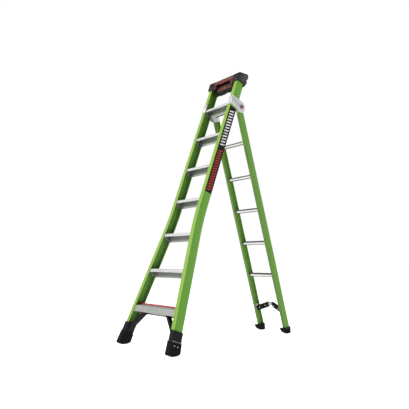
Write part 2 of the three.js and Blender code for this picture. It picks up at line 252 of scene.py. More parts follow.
def panel(bm, direction, margin, sink):
    """Sinks a panel into the largest face that looks in the given direction."""
    settle(bm)
    faces = [f for f in bm.faces if f.normal.dot(Vector(direction)) > 0.99]
    largest = max(faces, key=lambda f: f.calc_area())
    bmesh.ops.inset_region(bm, faces=[largest], thickness=margin, depth=0, use_even_offset=True)
    settle(bm)
    bmesh.ops.translate(bm, verts=largest.verts, vec=Vector(direction) * -sink)
    return bm


def linked(name, data):
    """New object in the scene."""
    obj = bpy.data.objects.new(name, data)
    bpy.context.scene.collection.objects.link(obj)
    return obj


def loose(bm):
    """Temporary object for a boolean."""
    mesh = bpy.data.meshes.new("loose")
    settle(bm).to_mesh(mesh)
    bm.free()
    return linked("loose", mesh)


def carve(base, *tools, operation="DIFFERENCE"):
    """Exact boolean of closed solids."""
    host = loose(base)
    used = [host]
    for tool in tools:
        other = loose(tool)
        used.append(other)
        modifier = host.modifiers.new("carve", "BOOLEAN")
        modifier.operation = operation
        modifier.solver = "EXACT"
        modifier.object = other
    bpy.context.view_layer.update()
    graph = bpy.context.evaluated_depsgraph_get()
    made = bpy.data.meshes.new_from_object(host.evaluated_get(graph))
    result = bmesh.new()
    result.from_mesh(made)
    bpy.data.meshes.remove(made)
    for obj in used:
        mesh = obj.data
        bpy.data.objects.remove(obj)
        bpy.data.meshes.remove(mesh)
    return result


# Materials

class Look:
    """A node material under construction, with the record's slot that it belongs to."""

    def __init__(self, name, slot, colour, roughness, metallic=0.0, specular=0.5):
        self.slot = slot
        self.material = bpy.data.materials.new(name)
        self.material.use_nodes = True
        self.tree = self.material.node_tree
        self.shader = self.tree.nodes["Principled BSDF"].inputs
        self.shader["Base Color"].default_value = (*colour, 1)
        self.shader["Roughness"].default_value = roughness
        self.shader["Metallic"].default_value = metallic
        self.shader["Specular IOR Level"].default_value = specular

    def feed(self, socket, value):
        if isinstance(value, bpy.types.NodeSocket):
            self.tree.links.new(value, socket)
        else:
            socket.default_value = value

    def add(self, kind, inputs, output=0, **settings):
        node = self.tree.nodes.new("ShaderNode" + kind)
        for key, value in settings.items():
            setattr(node, key, value)
        for key, value in inputs.items():
            self.feed(node.inputs[key], value)
        return node.outputs[output]

    def grain(self, scale):
        """Section coordinates in metres, stretched."""
        vector = self.add("Attribute", {}, output=1, attribute_name="grain")
        return self.add("VectorMath", {0: vector, 1: scale}, operation="MULTIPLY")

    def place(self, axis):
        """One section coordinate in metres: 0 across, 1 back and 2 up the slope."""
        return self.add("SeparateXYZ", {0: self.grain(same(1))}, output=axis)

    def noise(self, scale, detail, roughness=0.55):
        inputs = {"Vector": self.grain(scale), "Scale": 1.0, "Detail": detail, "Roughness": roughness}
        return self.add("TexNoise", inputs)

    def cells(self, scale):
        return self.add("TexVoronoi", {"Vector": self.grain(scale), "Scale": 1.0})

    def remap(self, value, low, high, to_low=0, to_high=1):
        inputs = {"Value": value, "From Min": low, "From Max": high, "To Min": to_low, "To Max": to_high}
        return self.add("MapRange", inputs)

    def ramp(self, value, start, end, most=1):
        """From 0 at the start to the most at the end, both in millimetres."""
        return self.remap(value, start * MM, end * MM, 0, most)

    def math(self, operation, a, b=0):
        return self.add("Math", {0: a, 1: b}, operation=operation)

    def edges(self, distance, strength):
        """Strong along convex edges and 0 on open surfaces."""
        inside = self.add(
            "AmbientOcclusion", {"Distance": distance * MM}, output=1,
            inside=True, only_local=True, samples=6,
        )
        return self.remap(inside, 0.55, 0.95, strength, 0)

    def crevices(self, distance, strength):
        """Strong in corners and 0 on open surfaces."""
        open_sky = self.add("AmbientOcclusion", {"Distance": distance * MM}, output=1, samples=6)
        return self.remap(open_sky, 0.35, 0.95, strength, 0)

    def blend(self, amount, first, second):
        """Mix of two colours."""
        node = self.tree.nodes.new("ShaderNodeMix")
        node.data_type = "RGBA"
        self.feed(node.inputs[0], amount)
        for socket, colour in ((node.inputs[6], first), (node.inputs[7], second)):
            self.feed(socket, colour if isinstance(colour, bpy.types.NodeSocket) else (*colour, 1))
        return node.outputs[2]

    def finish(self, colour, roughness, height, distance, strength):
        """Feeds the shader's colour and roughness, and a bump whose depth is in millimetres."""
        self.feed(self.shader["Base Color"], colour)
        self.feed(self.shader["Roughness"], roughness)
        bump = {"Height": height, "Distance": distance * MM, "Strength": strength}
        self.feed(self.shader["Normal"], self.add("Bump", bump))
        return self


def same(value):
    """A neutral grey, or a scale that is the same along the three axes."""
    return (value, value, value)


def shade(colour, factor, lift=0):
    return tuple(channel * factor + lift for channel in colour)


def fibreglass(name, colour, flange, front, back, hollow, painted_shading):
    """Pultruded rail: fine strands along the rail, soft clouds, pale rubbed edges and scuffs.

    The outer faces of the flanges, at the front and back depths, take the flange colour, and the hollow side
    takes a shading
    colour: on the front rails the flanges carry painted light and the hollow painted shade, on the rear rails
    the reverse.
    """
    look = Look(name, "fibreglass", colour, 0.42, specular=0.25)
    strands = look.noise((260, 260, 5), 4)
    clouds = look.noise((6, 6, 2.2), 3)
    scuffs = look.remap(look.noise((60, 60, 9), 5, 0.7), 0.64, 0.78, 0, 0.3)
    reach = (back - front) / 2 - 0.5
    off_middle = look.math("ABSOLUTE", look.math("SUBTRACT", look.place(1), (front + back) / 2 * MM))
    # Flange colour: painted light on the front rails' flanges, painted shade on the rear rails' flanges.
    tone = look.blend(look.ramp(off_middle, reach - 3, reach), colour, flange)
    tone = look.blend(look.remap(strands, 0.3, 0.7, 0.3, 0), tone, shade(colour, 0.7))
    tone = look.blend(look.remap(clouds, 0.35, 0.65, 0, 0.2), tone, shade(colour, 0.75))
    # Painted shading in the hollow side: painted shade on the front rails, painted light on the rear rails.
    tone = look.blend(look.crevices(70, hollow), tone, painted_shading)
    pale = shade(flange, 0.72, 0.10)
    tone = look.blend(scuffs, tone, pale)
    tone = look.blend(look.edges(2.5, 0.4), tone, pale)
    return look.finish(tone, look.remap(strands, 0.25, 0.75, 0.36, 0.52), strands, 0.3, 0.35)


def rung_painted_shade(look, tone):
    """Painted shade along the top and the underside of each rung, darkening all but the band round its
    middle.
    """
    from_axis = look.math("PINGPONG", look.place(2), PITCH * MM / 2)
    # The top and the underside of the rung turn almost black: painted shade.
    return look.blend(look.ramp(from_axis, 5.8, 8.2, 0.93), tone, (0.062, 0.062, 0.058))


def tread_painted_shade(look, tone):
    """Painted shade under each tread between its lip and its rear leg, tinted green as a painted reflection
    of the rails, and dark green painted shade in its corners.
    """
    depth, station = look.place(1), look.place(2)
    below = 60 * MM
    wrapped = look.math("MODULO", look.math("ADD", station, below), PITCH * MM)
    level = look.math("SUBTRACT", wrapped, below)
    from_lip = look.math("SUBTRACT", depth, TREAD["inset"] * MM)
    top = look.math("MULTIPLY", from_lip, math.tan(FRONT_LEAN))
    under = look.ramp(look.math("SUBTRACT", level, top), -1.2, -2.2)
    lip = TREAD["inset"] + TREAD["wall"]
    back = FRONT["depth"] - TREAD["inset"]
    leg = back - TREAD["wall"]
    behind_lip, before_back = look.ramp(depth, lip + 1.3, lip + 4), look.ramp(depth, back - 1, back - 2)
    between = look.math("MULTIPLY", behind_lip, before_back)
    # Painted shade under the tread, darker and greener on the inner face of the rear leg, as a painted
    # reflection of the green rails.
    under_shade = look.blend(look.ramp(depth, leg - 1.5, leg - 0.5), (0.365, 0.37, 0.35), (0.325, 0.345, 0.315))
    tone = look.blend(look.math("MULTIPLY", under, between), tone, under_shade)
    # Dark green painted shade in the tread's corners.
    return look.blend(look.crevices(60, 0.5), tone, (0.078, 0.112, 0.065))


def extruded(name, colour, roughness, painted_shading=None):
    """Extruded aluminium: die lines along the length, bright worn edges, darker patches, and any painted
    shading passed in.
    """
    look = Look(name, "aluminium", colour, roughness, metallic=0.45)
    lines = look.noise((3, 420, 420), 3)
    patches = look.noise(same(14), 4)
    tone = look.blend(look.remap(lines, 0.3, 0.7), shade(colour, 0.90), shade(colour, 1.05))
    tone = look.blend(look.remap(patches, 0.45, 0.75, 0, 0.30), tone, shade(colour, 0.72))
    tone = look.blend(look.edges(2, 0.5), tone, (0.92, 0.92, 0.91))
    # Painted shade under the treads and on the rungs' top and underside, where it is given.
    if painted_shading:
        tone = painted_shading(look, tone)
    rough = look.remap(patches, 0.3, 0.7, roughness - 0.08, roughness + 0.10)
    return look.finish(tone, rough, lines, 0.2, 0.3)


def cast(name, colour, metallic, roughness, worn=0.95):
    """Satin metal with a fine grain and worn edges."""
    look = Look(name, "bright_steel", colour, roughness, metallic=metallic)
    grain = look.noise(same(900), 2)
    patches = look.noise(same(25), 3)
    tone = look.blend(look.remap(patches, 0.35, 0.7, 0, 0.35), colour, shade(colour, 0.84))
    tone = look.blend(look.edges(2, 0.4), tone, same(worn))
    rough = look.remap(grain, 0.3, 0.7, roughness - 0.06, roughness + 0.06)
    return look.finish(tone, rough, grain, 0.2, 0.25)


def moulded(name, slot, colour, roughness, stipple, dust, worn, gloss=0.2, recess_shade=0):
    """Moulded plastic: a stippled skin, dust in the corners, painted shade in the recesses and polished
    edges.
    """
    look = Look(name, slot, colour, roughness, specular=gloss)
    grains = look.cells(same(stipple))
    clouds = look.noise(same(18), 4)
    tone = look.blend(look.remap(clouds, 0.35, 0.7), shade(colour, 0.85), shade(colour, 1.18))
    tone = look.blend(look.edges(3, 0.55), tone, worn)
    tone = look.blend(look.crevices(10, dust), tone, (0.07, 0.068, 0.06))
    # Painted shade in the recesses, such as under the grab bar.
    if recess_shade:
        tone = look.blend(look.crevices(50, recess_shade), tone, shade(colour, 0.2))
    rough = look.remap(clouds, 0.3, 0.7, roughness - 0.07, roughness + 0.08)
    return look.finish(tone, rough, grains, 0.4, 0.35)


def film(name, slot, colour, roughness=0.45):
    """Printed film or paint: smooth and slightly mottled."""
    look = Look(name, slot, colour, roughness, specular=0.12)
    mottle = look.noise(same(70), 5)
    tone = look.blend(look.remap(mottle, 0.4, 0.75, 0, 0.5), colour, shade(colour, 0.85, 0.004))
    rough = look.remap(mottle, 0.3, 0.7, roughness - 0.05, roughness + 0.1)
    return look.finish(tone, rough, mottle, 0.2, 0.15)


def red_plastic(name, colour, roughness, dust, worn, gloss=0.2, recess_shade=0):
    return moulded(name, "red_plastic", colour, roughness, 1200, dust, worn, gloss, recess_shade)


# Front rails: a brighter flange colour as painted light, a darker hollow colour as painted shade.
GREEN_FRONT = fibreglass(
    "fibreglass_front", (0.113, 0.287, 0.033), (0.212, 0.342, 0.044), 0, FRONT["depth"],
    hollow=0.62, painted_shading=(0.049, 0.107, 0.023),
)
# Rear rails: a darker flange colour as painted shade, a brighter hollow colour as painted light.
GREEN_REAR = fibreglass(
    "fibreglass_rear", (0.108, 0.256, 0.029), (0.074, 0.140, 0.026), REAR["front"], REAR["back"],
    hollow=0.5, painted_shading=(0.150, 0.340, 0.046),
)
TREAD_METAL = extruded("aluminium_tread", (0.51, 0.52, 0.505), 0.42, tread_painted_shade)
# A darker copy of the tread aluminium: painted shade over the bottom tread.
SHADED_TREAD = extruded("aluminium_tread_shaded", (0.30, 0.31, 0.295), 0.46, tread_painted_shade)
COLLAR_METAL = extruded("aluminium_collar", (0.30, 0.31, 0.295), 0.46)
RUNG_METAL = extruded("aluminium_rung", (0.56, 0.57, 0.56), 0.38, rung_painted_shade)
BRACKET_METAL = cast("bracket_metal", (0.49, 0.50, 0.495), 0.25, 0.40)
BAR_METAL = cast("bar_metal", (0.33, 0.335, 0.33), 0.7, 0.42, worn=0.6)
STEEL = cast("zinc_steel", (0.55, 0.55, 0.54), 0.8, 0.34)
BLACK_STEEL = cast("black_steel", same(0.035), 0.3, 0.45, worn=0.16)
RUBBER = moulded("rubber_sole", "rubber", (0.0050, 0.0054, 0.0050), 0.78, 700, 0.05, same(0.016), 0.08)
PAD_RUBBER = moulded("rubber_pad", "rubber", (0.009, 0.009, 0.010), 0.75, 900, 0.1, same(0.03), 0.15)
BLACK = moulded("plastic_black", "black_plastic", (0.0055, 0.006, 0.0055), 0.55, 1100, 0.08, same(0.02), 0.12)
CAP_BLACK = moulded("plastic_cap", "black_plastic", same(0.0095), 0.50, 700, 0.1, same(0.05))
# The bar and the pad face take painted shade in their recesses, set by the last figure.
RED = red_plastic("plastic_red", (0.150, 0.038, 0.028), 0.48, 0.05, (0.34, 0.12, 0.095), 0.25, 0.8)
FACE_RED = red_plastic("plastic_face", (0.078, 0.024, 0.021), 0.55, 0.05, (0.16, 0.08, 0.07), 0.2, 0.85)
KNOB_RED = red_plastic("plastic_knob", (0.19, 0.065, 0.06), 0.50, 0.05, (0.32, 0.14, 0.12))
CUE_RED = red_plastic("plastic_cue_red", (0.50, 0.045, 0.050), 0.45, 0.02, (0.6, 0.12, 0.11))
BUTTON = red_plastic("plastic_button", (0.17, 0.055, 0.015), 0.45, 0.0, (0.25, 0.10, 0.04))
FILM = film("film_black", "black_plastic", (0.006, 0.006, 0.0065))
WHITE_INK = film("ink_white", "aluminium", same(0.60))
RED_INK = film("ink_red", "red_plastic", (0.34, 0.030, 0.020))
SEAM = film("seam_trim", "aluminium", (0.34, 0.33, 0.28), 0.5)


# Pieces

SMOOTH_BELOW = math.radians(34)
SPECK = 0.003


def piece(name, bm, look, body, *nodes):
    """Finishes a mesh: places it, gives it its section coordinates, look and body."""
    bmesh.ops.dissolve_degenerate(bm, dist=SPECK, edges=bm.edges)
    settle(bm)
    mesh = bpy.data.meshes.new(name)
    bm.to_mesh(mesh)
    bm.free()
    grain = mesh.attributes.new("grain", "FLOAT_VECTOR", "POINT")
    for vertex, value in zip(mesh.vertices, grain.data):
        value.vector = vertex.co * MM
    mesh.transform(REAR_FRAME if body == "rear_section" else FRONT_FRAME)
    mesh.shade_smooth()
    mesh.set_sharp_from_angle(angle=SMOOTH_BELOW)
    mesh.materials.append(look.material)
    obj = linked(name, mesh)
    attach(obj, body)
    if nodes:
        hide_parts(*nodes)


def pair(body, name, bm, look, node=None):
    """The piece as drawn, on the right, and its mirror image. A * in the body takes the side."""
    mirrored = bm.copy()
    bmesh.ops.scale(mirrored, vec=(-1, 1, 1), verts=mirrored.verts)
    for side, mesh in (("right", bm), ("left", mirrored)):
        nodes = [f"{node}_{side}"] if node else []
        piece(f"{name}_{side}", mesh, look, body.replace("*", side), *nodes)


# Front rails

def flare_at(station):
    """How far the front rails have spread at a station."""
    below = FLARE["start"] - station
    if below <= -FLARE["blend"]:
        return 0
    if below >= FLARE["blend"]:
        return below * FLARE["slope"]
    return (below + FLARE["blend"]) ** 2 / (4 * FLARE["blend"]) * FLARE["slope"]


def flared(bm):
    for vertex in bm.verts:
        vertex.co.x += flare_at(vertex.co.z)
    return bm


def channel(rail, front, back, corner, fillet, tip=1.6):
    """C section of a rail, whose open side looks inwards."""
    outer, wall = rail["half"], rail["wall"]
    inner = outer - rail["flange"]
    return rounded([
        (inner, front, tip), (outer, front, corner), (outer, back, corner), (inner, back, tip),
        (inner, back - wall, tip), (outer - wall, back - wall, fillet),
        (outer - wall, front + wall, fillet), (inner, front + wall, tip),
    ])


def front_rail():
    straight = [FRONT["bottom"], 300, 600]
    bend = [FLARE["start"] + FLARE["blend"] * k / 8 for k in range(-8, 9)]
    section = channel(FRONT, 0, FRONT["depth"], 5, 3)
    return flared(prism(section, "z", *straight, *bend, 1500, 1900, FRONT["top"]))


def level_rise(depth):
    """Station that a level line from the tread's front edge has risen to at a depth."""
    return (depth - TREAD["inset"]) * math.tan(FRONT_LEAN)


def rail_rivets(under_decal):
    """Two heads through the web at each tread: those in the open, or those that push the film out."""
    bm = bmesh.new()
    for number in range(1, TREADS + 1):
        for depth in TREAD["heads"]:
            station = number * PITCH + level_rise(depth) - 16
            if (DECAL["low"] < station < DECAL["high"]) != under_decal:
                continue
            if under_decal:
                rivet(bm, "x", (depth, station), FRONT_WEB, 4.6, 1.5)
            else:
                rivet(bm, "x", (depth, station), FRONT_WEB + flare_at(station) - 0.4, 4.2, 1.5)
    return bm


def decal_film():
    outline = rectangle((DECAL["front"], DECAL["back"]), (DECAL["low"], DECAL["high"]), 4)
    return prism(outline, "x", FRONT_WEB - 0.2, FRONT_WEB + 0.25)


def decal_stripes(low, high, count, cover):
    """Plain slanted stripes, evenly spaced, printed on the film."""
    bm = bmesh.new()
    step = (high - low) / count
    margin = 13
    half = (DECAL["back"] - DECAL["front"]) / 2 - margin
    wide, slant = step * cover, half * 0.35
    middle = (DECAL["front"] + DECAL["back"]) / 2
    for k in range(count):
        start = low + k * step
        outline = [
            (middle - half, start - slant), (middle + half, start + slant),
            (middle + half, start + slant + wide), (middle - half, start - slant + wide),
        ]
        prism(outline, "x", FRONT_WEB + 0.1, FRONT_WEB + 0.45, bm=bm)
    return bm


WHITE_STRIPES = decal_stripes(DECAL["middle"] + 34, DECAL["high"] - 24, 13, 0.46)
RED_STRIPES = decal_stripes(DECAL["low"] + 24, DECAL["middle"] - 4, 16, 0.5)
for row in (
    ("front_rail_shell", front_rail(), GREEN_FRONT, "front_rail"),
    ("rail_rivets", rail_rivets(under_decal=False), GREEN_FRONT),
    ("stripe_film", decal_film(), FILM),
    ("stripe_film_rivets", rail_rivets(under_decal=True), FILM),
    ("stripe_white", WHITE_STRIPES, WHITE_INK),
    ("stripe_red", RED_STRIPES, RED_INK),
):
    pair("front_section", *row)


# Treads

def tread_half(number):
    """Half the width of a tread, between the webs of the rails."""
    back = (FRONT["depth"] - FRONT["wall"]) * math.tan(FRONT_LEAN)
    return FRONT_WEB + flare_at(number * PITCH + back) - FRONT["wall"] - FIT


def tread_section(lip):
    """C section with a rounded nose, two grooves in the lip and gripping ribs on top."""
    near, far, wall = TREAD["inset"], FRONT["depth"] - TREAD["inset"], TREAD["wall"]
    drop = wall / math.cos(FRONT_LEAN)
    corners = [(near, -lip, 0.8)]
    for station in (-lip + 4, -lip + 9):
        groove = ((0, 0), (0.9, 0.7), (0.9, 2.2), (0, 2.9))
        corners += [(near + deep, station + up) for deep, up in groove]
    corners.append((near, 0, 2.4))
    rib, gap, tall, chamfer, margin = 2.2, 3.6, 0.7, 0.5, 5
    depth = near + margin
    while depth < far - margin:
        for along, up in ((0, 0), (chamfer, tall), (rib - chamfer, tall), (rib, 0)):
            corners.append((depth + along, level_rise(depth + along) + up))
        depth += rib + gap
    corners += [
        (far, level_rise(far), 2.4), (far, -TREAD["leg"], 1), (far - wall, -TREAD["leg"], 1),
        (far - wall, level_rise(far - wall) - drop, 2.5),
        (near + wall, level_rise(near + wall) - drop, 1.6), (near + wall, -lip, 0.8),
    ]
    return rounded(corners, 3)


def tread(number):
    """Tread with a riveted gusset at each end."""
    lip = TREAD["closed_lip"] if number == 1 else TREAD["lip"]
    half, wall, gap = tread_half(number), TREAD["wall"], 0.2
    bm = prism(tread_section(lip), "x", -half, half)
    near = TREAD["inset"] + wall + gap
    far = FRONT["depth"] - TREAD["inset"] - wall - gap
    drop = wall / math.cos(FRONT_LEAN) + gap
    gusset = rounded([
        (near, -lip + 2, 2), (far, -TREAD["leg"] + 2, 3),
        (far, level_rise(far) - drop, 3), (near, level_rise(near) - drop, 3),
    ])
    for end in (-1, 1):
        prism(gusset, "x", end * half, end * (half - wall), bm=bm)
        for depth in TREAD["heads"]:
            rivet(bm, "x", (depth, level_rise(depth) - 16), end * (half - wall), 4.5, 2, -end)
    return move(bm, z=number * PITCH)


def cue_bar():
    """Bar across the bottom tread, level on top, with two grooves."""
    half = tread_half(1) - FRONT["flange"] - 1
    front, back, tall = 50, 66, 13
    corners = [(front, level_rise(front) + 4, 1), (back, level_rise(back) + 4, 1)]
    corners.append((back, level_rise(back) + tall, 1.5))
    for depth in (62, 57):
        top = level_rise(depth) + tall
        groove = ((0, 0.3), (0.6, 1.5), (1.6, 1.7), (2.2, 0.9))
        corners += [(depth - ahead, top - deep) for ahead, deep in groove]
    corners += [(front + 3, level_rise(front + 3) + tall, 1), (front, level_rise(front) + 9, 1)]
    return move(soften(prism(rounded(corners, 3), "x", -half, half), 0.8, 2, 60), z=PITCH)


def cue_guide():
    """Guide in the hollow of the rail that holds one end of the cue bar."""
    inner = tread_half(1) - FRONT["flange"] + 0.5
    front, back, low, high = 47, 69, 1, 14
    outline = rounded([
        (front, level_rise(front) + low, 1), (back, level_rise(back) + low, 1),
        (back, level_rise(back) + high, 3), (front, level_rise(front) + high, 3),
    ])
    return move(soften(prism(outline, "x", inner, inner + FRONT["flange"] - 4), 0.7, 2, 60), z=PITCH)


for number in range(1, TREADS + 1):
    # The bottom tread takes the darker copy of the aluminium as painted shade.
    metal = SHADED_TREAD if number == 1 else TREAD_METAL
    piece(f"tread_ribbed_{number}", tread(number), metal, "front_section", f"tread_{number}")
piece("cue_bar_ribbed", cue_bar(), CUE_RED, "cue_bar", "cue_bar")
pair("front_section", "cue_guide", cue_guide(), CUE_RED)


# Front boots, feet and braces

FRONT_PLANE = FRONT_FRAME.inverted()
REAR_PLANE = REAR_FRAME.inverted()
FRONT_FOOT_Y = (FRONT_FRAME @ Vector((0, 0, 0))).y / MM
HEEL_Y = (REAR_FRAME @ Vector((0, REAR["back"], REAR["bottom"]))).y / MM + 7


def in_plane(plane, y, height):
    """(depth, station) in a section of a point at scene y and a height, both in millimetres."""
    point = plane @ Vector((0, y * MM, height * MM))
    return point.y, point.z


def rail_sleeve(skin_width, station):
    x = (FRONT_EDGE - skin_width, FRONT_WEB + skin_width)
    return rectangle(x, (-skin_width, FRONT["depth"] + skin_width), 2 + skin_width), station


def front_boot():
    """Sleeve with a rolled rim at the top, a small step at the seam and three ribs outside."""
    skins = [
        (6.4, 92.3), (6.8, 92.8), (6.8, 97), (5, 99), (5, 154),
        (6.6, 155.6), (6.9, 158), (6.9, 161.5), (5.6, 164),
    ]
    outers = [rail_sleeve(width, station) for width, station in skins]
    inners = [rail_sleeve(FIT, BOOT["seam"] + FIT), rail_sleeve(FIT, BOOT["top"])]
    bm = tube(outers, inners, "z")
    for depth in (18, 39, 60):
        outline = rectangle((depth - 2, depth + 2), (104, 148), 1.9)
        prism(outline, "x", FRONT_WEB + 4.5, FRONT_WEB + 6.4, bm=bm)
    return flared(bm)


def boot_seam():
    """Pale trim between boot and foot on the outer side."""
    outer, skirt = FRONT_WEB + BOOT["skin"], BOOT["skin"] + 1
    outline = rectangle((outer - 1, outer + 2.4), (89.5, 92.2), 0.6)
    return flared(prism(outline, "y", -skirt, FRONT["depth"] + skirt))


def front_foot_outline(side, sole, shoulder=89.6):
    """Side view of the foot down to a height above the ground."""
    def ground(y, height):
        return in_plane(FRONT_PLANE, FRONT_FOOT_Y + y, height)
    toe = ground(-10, 19)
    points = [(-side, shoulder), toe]
    points += curve(toe, ground(-2, sole), ground(24, sole))
    points += [ground(66, sole)]
    points += curve(ground(66, sole), ground(86, sole + 2), ground(93, 13))
    return points + [(FRONT["depth"] + side, shoulder)]


def rail_pocket(rail, y, z):
    """Tool that makes room for a rail with a running fit."""
    x = (rail["half"] - rail["flange"] - FIT, rail["half"] + FIT)
    return block(x, (y[0] - FIT, y[1] + FIT), z)


def front_foot():
    """Foot with a sunk panel on its outer side and a pocket for the rail."""
    side = BOOT["skin"] + 2
    bm = prism(front_foot_outline(side, 3), "x", FRONT_EDGE - side, FRONT_WEB + side)
    panel(bm, (1, 0, 0), 9, 1.2)
    soften(bm, 1.6, 3)
    pocket = rail_pocket(FRONT, (0, FRONT["depth"]), (FRONT["bottom"] - FIT, BOOT["top"]))
    return flared(carve(bm, pocket))


def sole_bars(plane, heel, toe, x, count=6, tall=5):
    """Cross bars under a foot, standing on the ground."""
    bm = bmesh.new()
    step = (toe - heel) / count
    for k in range(count):
        y = heel + k * step
        corners = [(y, 0), (y + step * 0.62, 0), (y + step * 0.55, tall), (y + step * 0.07, tall)]
        prism([in_plane(plane, *corner) for corner in corners], "x", *x, bm=bm)
    return bm


def knee_brace():
    """Strap from the boot up into the hollow of the bottom tread, with sunk panels."""
    inside = FRONT_EDGE - BOOT["skin"] - FIT
    low, high, top = 108, BOOT["top"] + 8, PITCH - 22
    outline = rounded([
        (inside + flare_at(low), low), (inside + flare_at(high), high), (262, 168, 8), (172, 258, 6),
        (172, top, 2), (146, top, 2), (146, 256, 8), (240, 162, 30), (268, 128, 20),
    ])
    bm = prism(outline, "y", 22, 58)
    panel(bm, (0, -1, 0), 5, 4)
    panel(bm, (0, 1, 0), 5, 4)
    return soften(bm, 1.2, 2)


SOLE_X = (FRONT_EDGE - 3, FRONT_WEB + 3)
FOOT_HEADS = 62
for row in (
    ("boot_sleeve", front_boot(), BLACK, "front_boot"),
    ("boot_seam_trim", boot_seam(), SEAM),
    ("front_foot_moulded", front_foot(), RUBBER, "front_foot"),
    ("front_foot_rivets", rivets(
        "x", [(depth, FOOT_HEADS) for depth in TREAD["heads"]], FRONT_WEB + 5 + flare_at(FOOT_HEADS), 4.2, 2.4
    ), STEEL),
    ("front_sole_bars", flared(sole_bars(FRONT_PLANE, FRONT_FOOT_Y + 22, FRONT_FOOT_Y + 70, SOLE_X)), RUBBER),
    ("knee_brace_moulded", knee_brace(), BLACK, "knee_brace"),
    ("knee_brace_rivets", rivets("y", ((159, 268), (272, 150)), 26, 4.5, 3, -1), BLACK_STEEL),
):
    pair("front_section", *row)


# Top end

def top_cap():
    """Moulded end cap, level on top, hooked over the rear edge of the rail."""
    outline = rounded([
        (-12, CAP["bottom"], 3), (70, CAP["bottom"] + 6, 2), (70, 2318, 2), (86, 2332, 4),
        (102, 2388, 4), (90, 2398, 3), (103, 2434, 6), (88, 2466, 7), (-7, 2430, 6), (-13, 2421, 3),
    ])
    bm = soften(prism(outline, "x", CAP_INSIDE, CAP_FACE), 2, 3)
    swing_past = block((0, REAR_WEB + 7), (79.4, 140), (2200, 2500))
    pocket = rail_pocket(FRONT, (0, FRONT["depth"]), (2200, FRONT["top"] + FIT))
    return carve(bm, swing_past, pocket)


def cap_plate():
    """Raised plate on the outer face of the cap."""
    outline = rounded([
        (-4, 2356, 4), (58, 2361, 4), (80, 2390, 4), (84, 2404, 4),
        (93, 2433, 5), (84, 2454, 5), (-3, 2420, 5),
    ])
    return soften(prism(outline, "x", CAP_FACE - 0.5, CAP_FACE + 1.4), 0.8, 2)


def cap_studs():
    """Rows of small domes on the outer face of the cap."""
    places = [(6 + 19 * k + 3 * row, 2366 + 19 * row + 7 * k) for row in range(3) for k in range(4)]
    return rivets("x", places, CAP_FACE + 1.4, 2.4, 1.5)


def cap_screws():
    bm = bmesh.new()
    screw(bm, "y", (FRONT_WEB - 20, 2366), -12, 3.4, 2, -1)
    screw(bm, "x", (80, 2366), CAP_FACE, 3.4, 2.2)
    return bm


def top_bar():
    """Grab bar with a shallow channel along its front face."""
    half = CAP_INSIDE - FIT
    front, back, low, high = TOP_BAR["front"], TOP_BAR["back"], TOP_BAR["bottom"], TOP_BAR["top"]
    corners = [(front, low, 5), (back, low, 5), (back, high, 5), (front, high, 5)]
    corners += [(front, high - 8, 1), (front + 2.2, high - 9.5, 1)]
    corners += [(front + 2.2, low + 9.5, 1), (front, low + 8, 1)]
    return prism(rounded(corners), "x", -half, half)


def bar_lug():
    """Lug under each end of the grab bar, clear of the pad as it turns."""
    front, back, top = TOP_BAR["front"] + 3, TOP_BAR["back"] - 7.5, TOP_BAR["bottom"] - FIT
    bottom = [(back, top - 38, 3), (front + 5, top - 46, 4), (front, top - 40, 3)]
    outline = rounded([(front, top), (back, top), *bottom])
    return soften(prism(outline, "x", 98, CAP_INSIDE - 2 * FIT), 1.2, 2, 50)


def top_shelf():
    """Level shelf with a hanging back and a row of tool holes."""
    def level(depth):
        return SHELF["level"] + (depth + 6) * math.tan(FRONT_LEAN)

    half = CAP_INSIDE - FIT
    front, back, thick, hang = SHELF["front"], SHELF["back"], SHELF["thick"], SHELF["hang"]
    inner = back - thick
    outline = rounded([
        (front, level(front) - thick, 1.5), (inner, level(inner) - thick, 2), (inner, hang, 1.5),
        (back, hang, 1.5), (back, level(back), 3), (front, level(front), 1.5),
    ])
    through = (2380, 2520)
    holes = [rod(9, through, "z", (x, 34), 24) for x in (-96, -64, 64, 96)]
    holes.append(prism(rectangle((-38, 38), (24, 44), 9.9), "z", *through))
    return carve(soften(prism(outline, "x", -half, half), 0.6, 1, 60), *holes)


def pad_arm():
    reach = 20
    bottom = arc(PAD_AXIS, reach, math.pi, math.tau, 12)
    top = TOP_BAR["bottom"] - FIT
    outline = [(-8, top), *bottom, (PAD["depth"] + reach, top)]
    bm = soften(prism(outline, "x", PAD["half"] + 1.5, PAD["half"] + 7.5), 1.2, 2, 50)
    return carve(bm, rod(PAD["pin"] + FIT, (PAD["half"], PAD["half"] + 9), "x", PAD_AXIS))


for row in (
    ("top_cap_moulded", top_cap(), CAP_BLACK, "top_cap"),
    ("top_cap_plate", cap_plate(), CAP_BLACK),
    ("top_cap_studs", cap_studs(), CAP_BLACK),
    ("top_cap_screws", cap_screws(), BLACK_STEEL),
):
    pair("front_section", *row)
piece("top_bar_channelled", top_bar(), RED, "front_section", "top_bar")
# The lugs take the darker face red instead of the bar's red, as painted shade under the grab bar.
pair("front_section", "top_bar_lug", bar_lug(), FACE_RED)
piece("top_shelf_pierced", top_shelf(), BLACK, "front_section", "top_shelf")
pair("front_section", "pad_arm_rounded", pad_arm(), RED, "pad_arm")


# Wall pad

def wall_pad():
    """Rubber pad with a V groove across its back and gripping ribs."""
    half, deep, tall = PAD["half"], PAD["deep"] / 2, PAD["tall"] / 2
    bm = soften(prism(rectangle((-deep, deep), (-tall, tall), 13, 6), "x", -half, half), 2.5, 3, 60)
    groove = prism([(-62, deep + 2), (0, 12), (62, deep + 2)], "z", -tall - 5, tall + 5)
    grooves = []
    for station in (-24, -12, 0, 12, 24):
        grooves.append(block((-half - 1, half + 1), (deep - 1.8, deep + 2), (station - 1.6, station + 1.6)))
    body = carve(bm, groove, *grooves)
    return move(body, y=PAD["depth"], z=PAD["station"])


